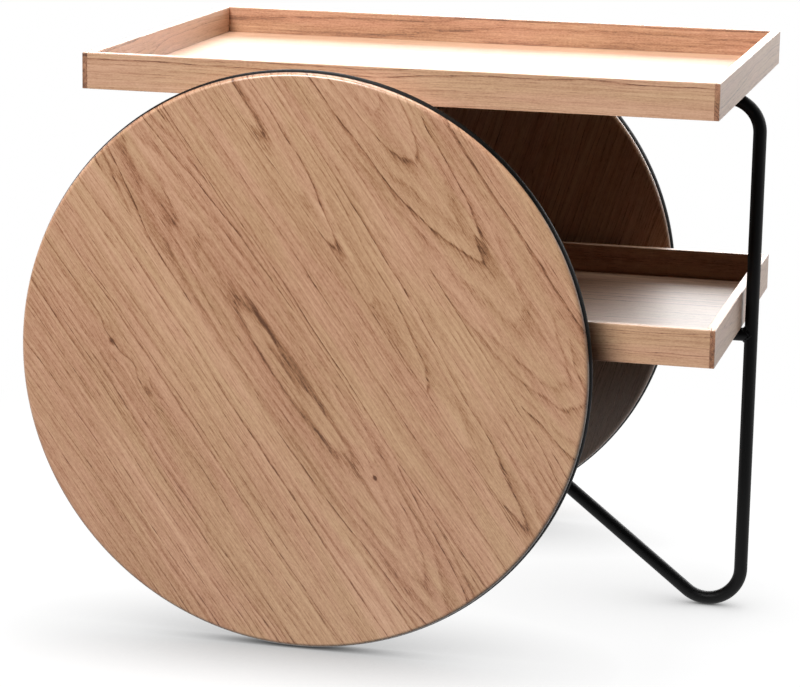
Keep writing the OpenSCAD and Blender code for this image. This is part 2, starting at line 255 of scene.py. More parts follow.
def round_the_axle(piece):
    """Repeats a piece at each of the flange screws' places, and joins them all."""
    return join([piece] + [
        copy_to(piece, Vector(), TURN * i / FLANGE_SCREWS) for i in range(1, FLANGE_SCREWS)])


def block(lo, hi):
    """A square-edged block between two corners."""
    return begin(bpy.ops.mesh.primitive_cube_add, size=1, location=(lo + hi) / 2, scale=hi - lo)


def hand_over(piece, name, body, finish, slot, *nodes):
    """Names a finished piece, dresses it, and puts it in the place of its CAD nodes."""
    piece.name = name
    piece.data.name = name
    piece.data.materials.clear()
    piece.data.materials.append(finish)
    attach(piece, body)
    if nodes:
        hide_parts(*nodes)
    return piece


# Wheels

def wheel_disc(side):
    """Wooden disc with a rounded rim, a groove for its tyre and a blind pocket for its hub."""
    lo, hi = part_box(f"{side}_wheel_disc")
    out = SIDES[side]
    middle = Vector((AXLE.x, (lo.y + hi.y) / 2, AXLE.z))
    radius = (hi.z - lo.z) / 2
    tyre_lo, tyre_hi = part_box(f"{side}_tyre")
    groove_half = (tyre_hi.y - tyre_lo.y) / 2 + TYRE_PLAY
    inner_y = lo.y if out > 0 else hi.y
    disc = begin(
        bpy.ops.mesh.primitive_cylinder_add, vertices=RIM_SIDES, radius=radius, depth=hi.y - lo.y,
        location=middle, rotation=(QUARTER, 0, 0))
    with editing(disc):
        for edge_y in (middle.y - groove_half, middle.y + groove_half):
            slice_at((0, edge_y, 0), (0, 1, 0))
        pick("FACE", lambda f: abs(f.normal.y) < 0.5 and abs(heart_of(f).y - middle.y) < NEAR)
        push((0, 0, 0))
        share = 1 - TYRE_SEAT / radius
        bpy.ops.transform.resize(value=(share, 1, share), center_override=middle)
        pick("FACE", lambda f: f.normal.y * out < -0.9 and abs(heart_of(f).y - inner_y) < NEAR)
        bpy.ops.mesh.inset(thickness=radius - POCKET_R)
        push((0, out * POCKET_DEEP, 0))
        pick("EDGE", lambda e: all(
            from_axle(v.co) > radius - NEAR
            and abs(abs(v.co.y - middle.y) - (hi.y - lo.y) / 2) < NEAR for v in e.verts))
        round_over(RIM_ROUND, segments=8)
    smooth(disc)
    return disc


def tyre(side):
    """Rubber band with a crowned running face: its section is cut out of a round and spun."""
    lo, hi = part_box(f"{side}_tyre")
    radius = (hi.z - lo.z) / 2
    middle_y = (lo.y + hi.y) / 2
    crown = Vector((AXLE.x + radius - TYRE_CROWN, middle_y, AXLE.z))
    band = begin(
        bpy.ops.mesh.primitive_circle_add, vertices=CROWN_SIDES, radius=TYRE_CROWN,
        fill_type="NGON", location=crown)
    with editing(band):
        slice_at((0, hi.y, 0), (0, 1, 0), clear_outer=True)
        slice_at((0, lo.y, 0), (0, 1, 0), clear_inner=True)
        slice_at((AXLE.x + radius - TYRE_THICK, 0, 0), (1, 0, 0), clear_inner=True)
        bpy.ops.mesh.select_all(action="DESELECT")
        shape = bmesh.from_edit_mesh(band.data)
        shape.verts.ensure_lookup_table()
        reach = max(v.co.x for v in shape.verts if abs(v.co.y - hi.y) < NEAR)
        for v in shape.verts:
            on_side = abs(abs(v.co.y - middle_y) - (hi.y - lo.y) / 2) < NEAR
            v.select_set(on_side and abs(v.co.x - reach) < NEAR)
        bmesh.update_edit_mesh(band.data)
        bpy.ops.mesh.bevel(offset=TYRE_SHOULDER, segments=4, affect="VERTICES")
        bpy.ops.mesh.select_all(action="SELECT")
        bpy.ops.mesh.delete(type="ONLY_FACE")
        bpy.ops.mesh.select_all(action="SELECT")
        bpy.ops.mesh.spin(steps=RIM_SIDES, angle=TURN, center=AXLE, axis=(0, 1, 0))
        bpy.ops.mesh.select_all(action="SELECT")
        bpy.ops.mesh.remove_doubles(threshold=NEAR)
        bpy.ops.mesh.normals_make_consistent(inside=False)
    smooth(band, angle=50)
    return band


def hub(side):
    """Steel hub turned from one piece: a flange, a boss with a fillet at its root, and a bore."""
    lo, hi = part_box(f"{side}_hub")
    out = SIDES[side]
    flange_r = (hi.z - lo.z) / 2
    boss_in, boss_out = (lo.y, hi.y) if out > 0 else (hi.y, lo.y)
    disc_in = disc_lo.y * out
    body = begin(
        bpy.ops.mesh.primitive_cylinder_add, vertices=HUB_SIDES, radius=flange_r, depth=FLANGE_T,
        location=(AXLE.x, disc_in - out * FLANGE_T / 2, AXLE.z), rotation=(QUARTER, 0, 0))
    with editing(body):
        for way, face_y, end_y in (
            (-out, disc_in - out * FLANGE_T, boss_in),
            (out, disc_in, boss_out),
        ):
            pick("FACE", lambda f: f.normal.y * way > 0.9 and len(f.verts) > 4)
            bpy.ops.mesh.inset(thickness=flange_r - BOSS_R)
            push((0, end_y - face_y, 0))
            bpy.ops.mesh.inset(thickness=BOSS_R - BEARING_R)
            push((0, -way * BEARING_W, 0))
            bpy.ops.mesh.inset(thickness=BEARING_R - HUB_BORE_R)
        pick("FACE", lambda f: len(f.verts) == HUB_SIDES)
        bpy.ops.mesh.bridge_edge_loops()
        root_y = disc_in - out * FLANGE_T
        pick("EDGE", lambda e: all(
            abs(from_axle(v.co) - BOSS_R) < NEAR and abs(v.co.y - root_y) < NEAR for v in e.verts))
        round_over(HUB_FILLET, segments=6)
    hole = begin(
        bpy.ops.mesh.primitive_cylinder_add, vertices=SCREW_SIDES,
        radius=FLANGE_SCREW_R + SCREW_PLAY, depth=4 * FLANGE_T,
        location=(AXLE.x + FLANGE_SCREW_RING, disc_in, AXLE.z), rotation=(QUARTER, 0, 0))
    cut_away(body, round_the_axle(hole))
    soften(body, HUB_EDGE)
    smooth(body)
    return body


def socket_screw(shank_r, shank_l, head_h):
    """Button-headed screw with a six-sided socket, standing on its head's seat and pointing up."""
    head_r = HEAD_SHARE * shank_r
    screw = begin(
        bpy.ops.mesh.primitive_cylinder_add, vertices=SCREW_SIDES, radius=head_r, depth=head_h,
        location=(0, 0, -head_h / 2))
    with editing(screw):
        pick("EDGE", lambda e: all(v.co.z < -head_h + NEAR for v in e.verts))
        round_over(HEAD_ROUND * head_h, segments=5)
        pick("FACE", lambda f: f.normal.z > 0.9 and len(f.verts) > 4)
        bpy.ops.mesh.inset(thickness=head_r - shank_r)
        push((0, 0, shank_l))
        pick("EDGE", lambda e: all(v.co.z > shank_l - NEAR for v in e.verts))
        round_over(TIP_ROUND * shank_r, segments=2)
    key = begin(
        bpy.ops.mesh.primitive_cylinder_add, vertices=6, radius=SOCKET_SHARE * head_r, depth=head_h,
        location=(0, 0, -head_h))
    cut_away(screw, key)
    soften(screw, SCREW_EDGE)
    smooth(screw)
    return screw


def flange_screws(side):
    """Six screws through the hub's flange, with their heads towards the table's middle."""
    lo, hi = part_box(f"{side}_flange_screws")
    out = SIDES[side]
    seat = disc_lo.y * out - out * FLANGE_T
    head = min(abs(lo.y), abs(hi.y))
    tip = max(abs(lo.y), abs(hi.y))
    screw = socket_screw(FLANGE_SCREW_R, tip - abs(seat), abs(seat) - head)
    laid = Matrix.Rotation(-out * QUARTER, 4, "X")
    screw.data.transform(Matrix.Translation((AXLE.x + FLANGE_SCREW_RING, seat, AXLE.z)) @ laid)
    return round_the_axle(screw)


# Frame

def bent_tube():
    """One tube bent round in the middle plane: post, top run, leg, floor bend and brace. It
    comes with the angle at which the brace climbs."""
    low = Vector((LEG_X - BEND_R, 0, TUBE_R + BEND_R))
    drop = AXLE.z - low.z
    reach = low.x - AXLE.x
    span = math.hypot(drop, reach)
    climb = math.atan2(drop, reach) + math.asin(BEND_R / span)
    brace = math.sqrt(span * span - BEND_R * BEND_R)
    bend_z = TOP_Z - BEND_R
    tube = begin(
        bpy.ops.mesh.primitive_circle_add, vertices=TUBE_SIDES, radius=TUBE_R, location=AXLE)
    with editing(tube):
        bpy.ops.mesh.select_all(action="SELECT")
        for run, centre, angle in (
            ((0, 0, bend_z - AXLE.z), (AXLE.x + BEND_R, 0, bend_z), QUARTER),
            ((LEG_X - AXLE.x - 2 * BEND_R, 0, 0), (low.x, 0, bend_z), QUARTER),
            ((0, 0, low.z - bend_z), low, QUARTER + climb),
        ):
            push(run)
            steps = round(BEND_STEPS * angle / QUARTER)
            bpy.ops.mesh.spin(steps=steps, angle=angle, center=centre, axis=(0, -1, 0))
        push((-brace * math.cos(climb), 0, brace * math.sin(climb)))
        bpy.ops.mesh.select_all(action="SELECT")
        bpy.ops.mesh.remove_doubles(threshold=NEAR)
        bpy.ops.mesh.select_mode(type="EDGE")
        bpy.ops.mesh.select_all(action="DESELECT")
        bpy.ops.mesh.select_non_manifold()
        bpy.ops.mesh.edge_face_add()
        bpy.ops.mesh.select_all(action="SELECT")
        bpy.ops.mesh.normals_make_consistent(inside=False)
    smooth(tube, angle=50)
    return tube, climb


def strut():
    """Straight tube from the axle to the leg, under the lower tray."""
    lo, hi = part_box("tray_strut")
    tube = begin(
        bpy.ops.mesh.primitive_cylinder_add, vertices=TUBE_SIDES, radius=TUBE_R,
        depth=LEG_X - AXLE.x, location=((AXLE.x + LEG_X) / 2, 0, (lo.z + hi.z) / 2),
        rotation=(0, QUARTER, 0))
    smooth(tube)
    return tube


def cross_tube():
    """Tube across the table at the axle, with the rod's bore and filed ends."""
    tube = begin(
        bpy.ops.mesh.primitive_cylinder_add, vertices=TUBE_SIDES, radius=CROSS_R,
        depth=cross_hi.y - cross_lo.y, location=AXLE, rotation=(QUARTER, 0, 0))
    with editing(tube):
        pick("FACE", lambda f: abs(f.normal.y) > 0.9)
        bpy.ops.mesh.inset(thickness=CROSS_R - ROD_R, use_individual=True)
        bpy.ops.mesh.bridge_edge_loops()
    soften(tube, CROSS_EDGE)
    smooth(tube)
    return tube


def bead(points, closed, radius):
    """A bead of weld along some points, with the small waves that the torch leaves, and with
    thinner ends where it isn't closed."""
    path = bpy.data.curves.new("bead", "CURVE")
    path.dimensions = "3D"
    path.bevel_depth = radius
    path.bevel_resolution = 3
    path.use_fill_caps = True
    line = path.splines.new("POLY")
    line.points.add(len(points) - 1)
    line.use_cyclic_u = closed
    last = len(points) - 1
    for i, point in enumerate(points):
        line.points[i].co = (*point, 1)
        wave = 1 + WELD_WAVES * math.sin(i * TURN / WELD_WAVE_POINTS)
        line.points[i].radius = wave if closed or 0 < i < last else WELD_END
    piece = bpy.data.objects.new("bead", path)
    bpy.context.scene.collection.objects.link(piece)
    bpy.ops.object.select_all(action="DESELECT")
    bpy.context.view_layer.objects.active = piece
    piece.select_set(True)
    bpy.ops.object.convert(target="MESH")
    return piece


def round_weld(start, heading, radius, other, other_heading, other_radius):
    """Weld round a tube that leaves another one from the point start, where their skins meet."""
    across = heading.orthogonal().normalized()
    up = heading.cross(across)
    points = []
    for i in range(WELD_POINTS):
        turn = TURN * i / WELD_POINTS
        skin = start + radius * (math.cos(turn) * across + math.sin(turn) * up)
        gap = skin - other
        gap -= gap.dot(other_heading) * other_heading
        way = heading - heading.dot(other_heading) * other_heading
        half = gap.dot(way) / way.dot(way)
        rest = (gap.dot(gap) - other_radius ** 2) / way.dot(way)
        points.append(skin + (math.sqrt(max(half * half - rest, 0)) - half) * heading)
    return bead(points, True, TUBE_WELD_R)


def straight_weld(start, end):
    """Weld along a straight corner."""
    points = [start.lerp(end, i / SEAM_POINTS) for i in range(SEAM_POINTS + 1)]
    return bead(points, False, CLEAT_WELD_R)


def welds(climb):
    """All the welds of the frame: at the axle, at the leg, and along the cleats."""
    along_x, along_y, along_z = Vector((1, 0, 0)), Vector((0, 1, 0)), Vector((0, 0, 1))
    down_brace = Vector((math.cos(climb), 0, -math.sin(climb)))
    lo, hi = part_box("tray_strut")
    strut_z = (lo.z + hi.z) / 2
    strut_start = Vector((AXLE.x, 0, strut_z))
    strut_end = Vector((LEG_X, 0, strut_z))
    beads = [
        round_weld(AXLE, along_z, TUBE_R, AXLE, along_y, CROSS_R),
        round_weld(AXLE, down_brace, TUBE_R, AXLE, along_y, CROSS_R),
        round_weld(strut_start, along_x, TUBE_R, AXLE, along_y, CROSS_R),
        round_weld(strut_end, -along_x, TUBE_R, strut_end, along_z, TUBE_R),
    ]
    # A cleat's welds lie in the corner under it, on both sides of the tube, and stop short
    under, clear, short = 1.0 * MM, 0.4 * MM, 2 * MM
    for tray, tube_z in (("upper", TOP_Z), ("lower", strut_z)):
        for cleat_lo, cleat_hi in cleat_boxes(tray):
            corner_z = cleat_lo.z - under
            aside = math.sqrt(TUBE_R ** 2 - (corner_z - tube_z) ** 2) + clear
            for y in (-aside, aside):
                start = Vector((cleat_lo.x + short, y, corner_z))
                beads.append(straight_weld(start, Vector((cleat_hi.x - short, y, corner_z))))
    piece = join(beads)
    smooth(piece, angle=60)
    return piece


# Trays

def cleat_boxes(tray):
    """The boxes of a tray's two cleats, which lie at the two ends of their node's box."""
    lo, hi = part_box(f"{tray}_tray_cleats")
    return [
        (lo, Vector((lo.x + CLEAT_WIDE, hi.y, hi.z))),
        (Vector((hi.x - CLEAT_WIDE, lo.y, lo.z)), hi),
    ]


def screw_rows(tray):
    """How far the tray screws stand from the middle plane."""
    lo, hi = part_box(f"{tray}_tray_cleats")
    return [s * y for s in (-1, 1) for y in (CLEAT_SCREW_INNER, hi.y - CLEAT_SCREW_INSET)]


def cleats(tray):
    """Flat steel bars with round corners and drilled for the tray screws."""
    bars = []
    for lo, hi in cleat_boxes(tray):
        bar = block(lo, hi)
        with editing(bar):
            pick("EDGE", lambda e: abs(e.verts[0].co.z - e.verts[1].co.z) > NEAR)
            round_over(CLEAT_CORNER, segments=8)
        for y in screw_rows(tray):
            cut_away(bar, begin(
                bpy.ops.mesh.primitive_cylinder_add, vertices=SCREW_SIDES,
                radius=TRAY_SCREW_R + SCREW_PLAY, depth=4 * (hi.z - lo.z),
                location=((lo.x + hi.x) / 2, y, lo.z)))
        soften(bar, CLEAT_EDGE)
        bars.append(bar)
    piece = join(bars)
    smooth(piece)
    return piece


def tray_screws(tray):
    """Screws up through the cleats into the base panel."""
    lo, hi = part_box(f"{tray}_tray_screws")
    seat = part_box(f"{tray}_tray_cleats")[0].z
    first = socket_screw(TRAY_SCREW_R, hi.z - seat, seat - lo.z)
    copies = [
        copy_to(first, Vector(((cleat_lo.x + cleat_hi.x) / 2, y, seat)))
        for cleat_lo, cleat_hi in cleat_boxes(tray) for y in screw_rows(tray)
    ]
    bpy.data.objects.remove(first)
    return join(copies)


def base_panel(tray):
    """Base panel with a tongue all round, which the walls' rebates hold."""
    lo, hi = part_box(f"{tray}_tray_base")
    panel = block(lo, Vector((hi.x, hi.y, lo.z + TONGUE)))
    with editing(panel):
        pick("FACE", lambda f: f.normal.z > 0.9)
        bpy.ops.mesh.inset(thickness=REBATE)
        push((0, 0, hi.z - lo.z - TONGUE))
    soften(panel, PANEL_EDGE)
    smooth(panel)
    return panel


def rebate_cutter(tray):
    """The room that a base panel's tongue takes, open at the bottom."""
    lo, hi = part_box(f"{tray}_tray_base")
    play = Vector((0.2, 0.2, 0)) * MM
    below = Vector((0, 0, 1 * MM))
    return block(lo - play - below, Vector((hi.x, hi.y, lo.z + TONGUE)) + play)


def finish_wall(wall, tray, top_z):
    """Cuts a wall's rebate, rounds its two top edges and breaks the others."""
    cut_away(wall, rebate_cutter(tray))
    with editing(wall):
        pick("EDGE", lambda e: all(v.co.z > top_z - NEAR for v in e.verts) and e.is_manifold
             and abs(e.link_faces[0].normal.dot(e.link_faces[1].normal)) < 0.5)
        round_over(TOP_ROUND, segments=4)
    soften(wall)
    smooth(wall)
    return wall


def long_wall(tray, side):
    """Front or back wall, which runs between the end walls' laps."""
    lo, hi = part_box(f"{tray}_tray_{side}_wall")
    return finish_wall(block(lo, hi), tray, hi.z)


def end_wall(tray, side):
    """Left or right wall, which laps round the ends of the front and back walls."""
    lo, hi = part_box(f"{tray}_tray_{side}_wall")
    out = 1 if side == "right" else -1
    inset = Vector((0, TRAY_WALL, 0))
    wall = block(lo + inset, hi - inset)
    lap_x = hi.x - CORNER_LAP if out > 0 else lo.x + CORNER_LAP
    with editing(wall):
        slice_at((lap_x, 0, 0), (1, 0, 0))
        for way in (-1, 1):
            pick("FACE", lambda f: f.normal.y * way > 0.9 and (heart_of(f).x - lap_x) * out > 0)
            push((0, way * TRAY_WALL, 0))
    return finish_wall(wall, tray, hi.z)


# Finishes

def srgb(red, green, blue):
    """A colour as a painter's chart gives it, from 0 to 255, as the shaders want it."""
    def linear(part):
        part /= 255
        return part / 12.92 if part <= 0.04045 else ((part + 0.055) / 1.055) ** 2.4
    return linear(red), linear(green), linear(blue), 1


class Nodes:
    """Shader nodes in the making, which are added and wired one after another."""

    def __init__(self, tree):
        self.tree = tree

    def add(self, kind, inputs=None, **options):
        """Adds a node, sets its options, and gives its inputs a number, a colour or a wire."""
        node = self.tree.nodes.new("ShaderNode" + kind)
        for key, value in options.items():
            setattr(node, key, value)
        for key, value in (inputs or {}).items():
            if isinstance(value, bpy.types.NodeSocket):
                self.tree.links.new(value, node.inputs[key])
            else:
                node.inputs[key].default_value = value
        return node

    def math(self, operation, *values, clamp=False):
        """One step of reckoning with numbers or wires."""
        node = self.add("Math", dict(enumerate(values)), operation=operation, use_clamp=clamp)
        return node.outputs[0]

    def noise(self, place, scale, detail=2.0, rough=0.5):
        """Noise in space, from 0 to 1."""
        node = self.add("TexNoise", {
            "Vector": place, "Scale": scale, "Detail": detail, "Roughness": rough})
        return node.outputs["Fac"]

    def noise_along(self, value, scale, detail):
        """Noise along a line, from 0 to 1."""
        node = self.add(
            "TexNoise", {"W": value, "Scale": scale, "Detail": detail}, noise_dimensions="1D")
        return node.outputs["Fac"]

    def stretch(self, place, scale):
        """The same place with each of its axes scaled."""
        return self.add("VectorMath", {0: place, 1: scale}, operation="MULTIPLY").outputs[0]

    def ramp(self, value, stops, steps=False):
        """A colour ramp; its stops are pairs of a place and a colour, or a number for grey."""
        node = self.add("ValToRGB", {"Fac": value})
        band = node.color_ramp
        band.interpolation = "CONSTANT" if steps else "LINEAR"
        while len(band.elements) < len(stops):
            band.elements.new(1.0)
        for element, (where, colour) in zip(band.elements, stops):
            element.position = where
            element.color = colour if isinstance(colour, tuple) else (colour, colour, colour, 1)
        return node.outputs["Color"]

    def mix(self, share, first, second, blend="MIX"):
        """A share of the second colour laid over the first one."""
        node = self.add(
            "Mix", {0: share, 6: first, 7: second}, data_type="RGBA", blend_type=blend)
        return node.outputs[2]

    def mirrored(self, rays):
        """Is 1 for what shows in the gloss of a piece that the camera sees, and 0 elsewhere."""
        glossy = self.math("MAXIMUM", rays["Is Glossy Ray"], rays["Is Transmission Ray"])
        return self.math("MULTIPLY", glossy, self.math("LESS_THAN", rays["Diffuse Depth"], 0.5))


class Finish(Nodes):
    """A new material and its nodes."""

    def __init__(self, name):
        self.material = bpy.data.materials.new(name)
        self.material.use_nodes = True
        super().__init__(self.material.node_tree)
        self.shader = self.tree.nodes["Principled BSDF"]
        self.place = self.add("TexCoord").outputs["Object"]

    def bump(self, height, distance):
        """Fine relief, which is too small to be modelled."""
        node = self.add("Bump", {"Height": height, "Distance": distance, "Strength": 1.0})
        self.tree.links.new(node.outputs["Normal"], self.shader.inputs["Normal"])

    def give(self, **inputs):
        """Sets the shader's own sockets, named in the way of Base_Color."""
        for key, value in inputs.items():
            socket = self.shader.inputs[key.replace("_", " ")]
            if isinstance(value, bpy.types.NodeSocket):
                self.tree.links.new(value, socket)
            else:
                socket.default_value = value


# A board of a glued-up panel, in millimetres from the panel's middle: how far across the
# panel it reaches, where the heart of its rings lies across and along the grain, how fast
# the rings close along the grain, how wide they are, and how much darker the board is
Board = namedtuple("Board", "reach heart arch close ring shade")

# A knot or dark streak: its middle across and along the grain, its two half lengths, how
# far it pushes the rings aside, all in millimetres, and how much darker it is
Knot = namedtuple("Knot", "across along half_across half_along push shade")

# The tones of oak from its palest to its darkest, and two casts that wander over it
OAK_TONES = [
    (0.0, srgb(219, 180, 147)),
    (0.3, srgb(203, 161, 129)),
    (0.5, srgb(187, 143, 112)),
    (0.7, srgb(163, 116, 85)),
    (1.0, srgb(98, 62, 42)),
]
PINK_CAST = (1.02, 0.99, 1.01, 1)
GREEN_CAST = (0.985, 1.01, 0.96, 1)

# How dark plain oak is, from 0 to 1, how much darker the lines of its rings, its pores and its
# end grain are, and how far its fibres, flecks, streaks and clouds swing about that
PLAIN_OAK = 0.36
LINE_DARK = 0.68
PORE_DARK = 0.52
END_DARK = 1.0
FIBRE_SWING = 0.58
FLECK_SWING = 0.56
STREAK_SWING = 0.64
CLOUD_SWING = 0.36

# Lacquers: their weight and their roughness
WALL_LACQUER = (1.0, 0.55)
WHEEL_LACQUER = (0.8, 0.2)
PANEL_LACQUER = (1.0, 0.58)

# How far a panel's first board reaches back from its far edge, in millimetres
FIRST_BOARD = 400


def deal_boards(seed, total, width):
    """Boards for a panel as wide as total, dealt by a seeded hand."""
    deal = random.Random(seed)
    boards = []
    edge = -total / 2
    while edge < total / 2:
        start = edge
        edge += width * deal.uniform(0.75, 1.25)
        heart = deal.choice((deal.uniform(start, edge), start - deal.uniform(60, 160)))
        boards.append(Board(
            edge, heart, deal.uniform(-220, 220), deal.uniform(0.04, 0.12), deal.uniform(4, 6.5),
            deal.uniform(-0.06, 0.06)))
    return boards


def board_value(f, across, boards, key, low, high):
    """One of the boards' numbers, looked up by where it lies across the panel. It is kept in
    a ramp, as a share of the way from low to high."""
    values = [getattr(board, key) for board in boards]
    if len(boards) == 1:
        return values[0]
    first, last = boards[0].reach - FIRST_BOARD, boards[-1].reach
    stops = []
    start = 0.0
    for board, value in zip(boards, values):
        stops.append((start, (value - low) / (high - low)))
        start = (board.reach - first) / (last - first)
    share = f.math("DIVIDE", f.math("SUBTRACT", across, first), last - first)
    return f.math("MULTIPLY_ADD", f.ramp(share, stops, steps=True), high - low, low)


def ring_lines(f, place, boards, seed, knots):
    """How strong the line of a growth ring is, and how much darker the board and its knots
    are. The rings are the distance from the tree's heart, wavy as in a real trunk, counted in
    rings. Each ring has a strength of its own and is darkest where it starts."""
    parts = f.add("SeparateXYZ", {0: place})
    u, v, w = parts.outputs[0], parts.outputs[1], parts.outputs[2]
    heart = board_value(f, u, boards, "heart", -500, 500)
    arch = board_value(f, u, boards, "arch", -400, 400)
    close = board_value(f, u, boards, "close", 0, 0.4)
    ring = board_value(f, u, boards, "ring", 0, 20)
    shade = board_value(f, u, boards, "shade", -0.3, 0.3)

    offset = f.add("CombineXYZ", {
        0: f.math("SUBTRACT", u, heart),
        1: f.math("MULTIPLY", f.math("SUBTRACT", v, arch), close),
        2: f.math("ADD", w, 9 + seed)}).outputs[0]
    away = f.add("VectorMath", {0: offset}, operation="LENGTH").outputs["Value"]
    for scale, reach in (((0.014, 0.003, 0.014), 20), ((0.07, 0.014, 0.07), 5)):
        waver = f.noise(f.stretch(place, scale), 1, 2)
        away = f.math("MULTIPLY_ADD", waver, reach, away)
    dark = 0.0
    for knot in knots:
        gap_u = f.math("DIVIDE", f.math("SUBTRACT", u, knot.across), knot.half_across)
        gap_v = f.math("DIVIDE", f.math("SUBTRACT", v, knot.along), knot.half_along)
        near = f.math("MULTIPLY_ADD", gap_u, gap_u, f.math("MULTIPLY", gap_v, gap_v))
        near = f.math("POWER", math.e, f.math("MULTIPLY", f.math("MULTIPLY", near, near), -1.0))
        away = f.math("MULTIPLY_ADD", near, knot.push, away)
        dark = f.math("MULTIPLY_ADD", near, knot.shade, dark)

    count = f.math("DIVIDE", away, ring)
    count = f.math("MULTIPLY_ADD", f.noise_along(count, 0.45, 1.0), 2.2, count)
    part = f.math("FRACT", count)
    number = f.math("ADD", f.math("FLOOR", count), shade)
    force = f.add("TexWhiteNoise", {"W": number}, noise_dimensions="1D").outputs["Value"]
    line = f.ramp(part, [
        (0.0, 0.5), (0.08, 1.0), (0.22, 0.45), (0.5, 0.12), (0.9, 0.0), (1.0, 0.5)])
    line = f.math("MULTIPLY", line, f.math("MULTIPLY_ADD", f.math("POWER", force, 3.0), 0.7, 0.3))
    return line, f.math("ADD", dark, shade)


def oak(name, centre, along, facing, boards, seed=0.0, knots=(), lacquer=WALL_LACQUER):
    """Lacquered oak. The boards run along the grain and lie side by side across it; facing is
    the way that the panel's face looks. A thin line of pores marks the start of each ring.
    The lacquer is its weight and its roughness."""
    f = Finish(name)
    along, facing = Vector(along).normalized(), Vector(facing).normalized()
    across = along.cross(facing)
    turn = Matrix((across, along, facing)).transposed().to_euler()
    place = f.add("Mapping", {
        "Vector": f.place, "Location": centre, "Rotation": turn, "Scale": (MM, MM, MM)},
        vector_type="TEXTURE").outputs[0]
    line, dark = ring_lines(f, place, boards, seed, knots)

    # Fibres, dashes of pores and slow changes of tone, each stretched along the grain
    fibre = f.noise(f.stretch(place, (1.1, 0.06, 1.1)), 1, 3, 0.65)
    fleck = f.noise(f.stretch(place, (1.0, 0.35, 1.0)), 1, 2, 0.7)
    streak = f.noise(f.stretch(place, (0.30, 0.006, 0.30)), 1, 3, 0.6)
    cloud = f.noise(f.stretch(place, (0.016, 0.005, 0.016)), 1, 2)
    pore = f.noise(f.stretch(place, (1.4, 0.06, 1.4)), 1, 2)
    pore = f.ramp(pore, [(0.0, 0.0), (0.58, 0.0), (0.7, 1.0)])
    pore = f.math("MULTIPLY", pore, f.math("MULTIPLY_ADD", line, 0.7, 0.3))
    dash = f.noise(f.stretch(place, (0.7, 0.07, 0.7)), 1, 3, 0.6)
    line = f.math("MULTIPLY", line, f.ramp(dash, [(0.3, 0.25), (0.62, 1.0)]))

    # The end grain drinks more lacquer and is darker
    normal = f.add("TexCoord").outputs["Normal"]
    end = f.add("VectorMath", {0: normal, 1: along}, operation="DOT_PRODUCT").outputs["Value"]
    end = f.ramp(f.math("ABSOLUTE", end), [(0.0, 0.0), (0.6, 0.0), (0.95, 0.4)])

    dark = f.math("ADD", dark, PLAIN_OAK)
    for value, amount in ((line, LINE_DARK), (pore, PORE_DARK), (end, END_DARK)):
        dark = f.math("MULTIPLY_ADD", value, amount, dark)
    for value, swing in (
        (fibre, FIBRE_SWING), (fleck, FLECK_SWING), (streak, STREAK_SWING), (cloud, CLOUD_SWING),
    ):
        dark = f.math("MULTIPLY_ADD", f.math("SUBTRACT", value, 0.5), swing, dark)
    colour = f.ramp(f.math("ADD", dark, 0.0, clamp=True), OAK_TONES)
    cast = f.noise(f.stretch(place, (0.05, 0.007, 0.05)), 1, 2)
    cast = f.mix(f.ramp(cast, [(0.38, 0.0), (0.62, 1.0)]), PINK_CAST, GREEN_CAST)
    colour = f.mix(1.0, colour, cast, "MULTIPLY")

    # Fibres and pores are duller than the rest, and the pores are the deepest
    rough = f.math("MULTIPLY_ADD", fibre, 0.16, 0.38)
    rough = f.math("MULTIPLY_ADD", pore, 0.2, rough)
    height = f.math("MULTIPLY", f.math("ADD", line, fibre), -0.35)
    height = f.math("MULTIPLY_ADD", pore, -0.8, height)
    f.give(Base_Color=colour, Roughness=rough, Specular_IOR_Level=0.3)
    f.give(Coat_Weight=lacquer[0], Coat_Roughness=lacquer[1])
    f.bump(height, 0.1 * MM)
    return f.material


def rubber(name):
    """Black rubber with duller patches and a faint grain."""
    f = Finish(name)
    grain = f.noise(f.place, 2200, 3)
    patches = f.noise(f.place, 35, 4)
    worn = f.ramp(patches, [(0.35, 0.0), (0.75, 1.0)])
    colour = f.mix(worn, srgb(9, 9, 9), srgb(19, 18, 18))
    rough = f.math("MULTIPLY_ADD", patches, 0.14, 0.45)
    f.give(Base_Color=colour, Roughness=rough, Specular_IOR_Level=0.05)
    f.bump(grain, 0.03 * MM)
    return f.material


def powder_coat(name):
    """Fine black powder coat: satin, with a faint orange-peel."""
    f = Finish(name)
    peel = f.noise(f.place, 900, 2)
    patches = f.noise(f.place, 22, 3)
    colour = f.mix(patches, srgb(8, 8, 9), srgb(14, 14, 15))
    rough = f.math("MULTIPLY_ADD", patches, 0.14, 0.42)
    f.give(Base_Color=colour, Roughness=rough, Specular_IOR_Level=0.2)
    f.bump(peel, 0.05 * MM)
    return f.material


def turned_steel(name, tint, rough, ring_mm=0.5):
    """Steel turned on a lathe about the axle, with fine rings and a few duller patches."""
    f = Finish(name)
    parts = f.add("SeparateXYZ", {0: f.place})
    dx = f.math("SUBTRACT", parts.outputs[0], AXLE.x)
    dz = f.math("SUBTRACT", parts.outputs[2], AXLE.z)
    radius = f.math("SQRT", f.math("ADD", f.math("MULTIPLY", dx, dx), f.math("MULTIPLY", dz, dz)))
    rings = f.noise_along(f.math("DIVIDE", radius, ring_mm * MM), 1.0, 2.0)
    patches = f.noise(f.place, 60, 4)
    colour = f.mix(patches, tint, tuple(0.82 * part for part in tint[:3]) + (1,))
    rough = f.math("MULTIPLY_ADD", patches, 0.16, f.math("MULTIPLY_ADD", rings, 0.1, rough - 0.13))
    f.give(Base_Color=colour, Roughness=rough, Metallic=1.0)
    f.bump(rings, 0.02 * MM)
    return f.material


